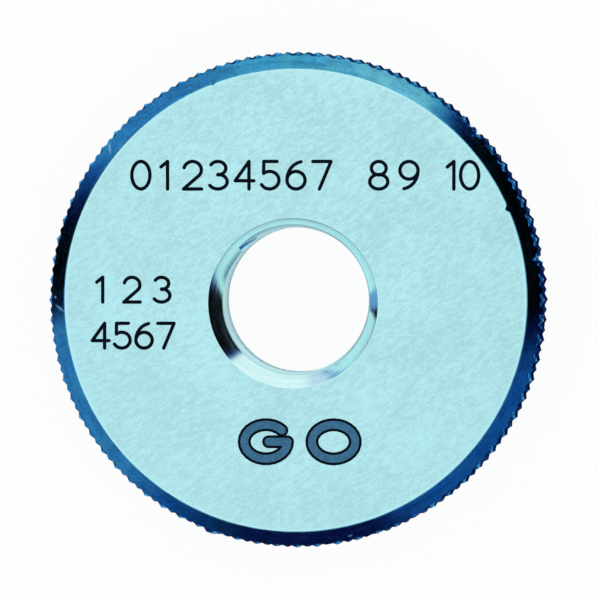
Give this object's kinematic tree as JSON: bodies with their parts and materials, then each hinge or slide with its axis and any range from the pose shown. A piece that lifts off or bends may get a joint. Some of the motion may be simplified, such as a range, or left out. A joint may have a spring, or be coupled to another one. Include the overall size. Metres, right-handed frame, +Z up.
{
  "type": "thread ring gauge",
  "caption": "Go thread ring gauge: a thick steel ring with a threaded bore countersunk at both ends, chamfered outer edges and a diamond-knurled rim.",
  "frame": {"origin": "where the bore's axis meets the lower end face, on which the ring lies", "axes": "+Z up the bore's axis, out of the upper, marked end face; +X to the right of the marks and +Y to their top"},
  "size_m": [0.032, 0.032, 0.008],
  "materials": {
    "gauge_steel": "hardened gauge steel: satin lapped end faces with a cool pale tint, bright turned chamfers, dark knurled rim"
  },
  "bodies": {
    "root": {"gauge_ring": "gauge_steel"}
  },
  "joints": []
}
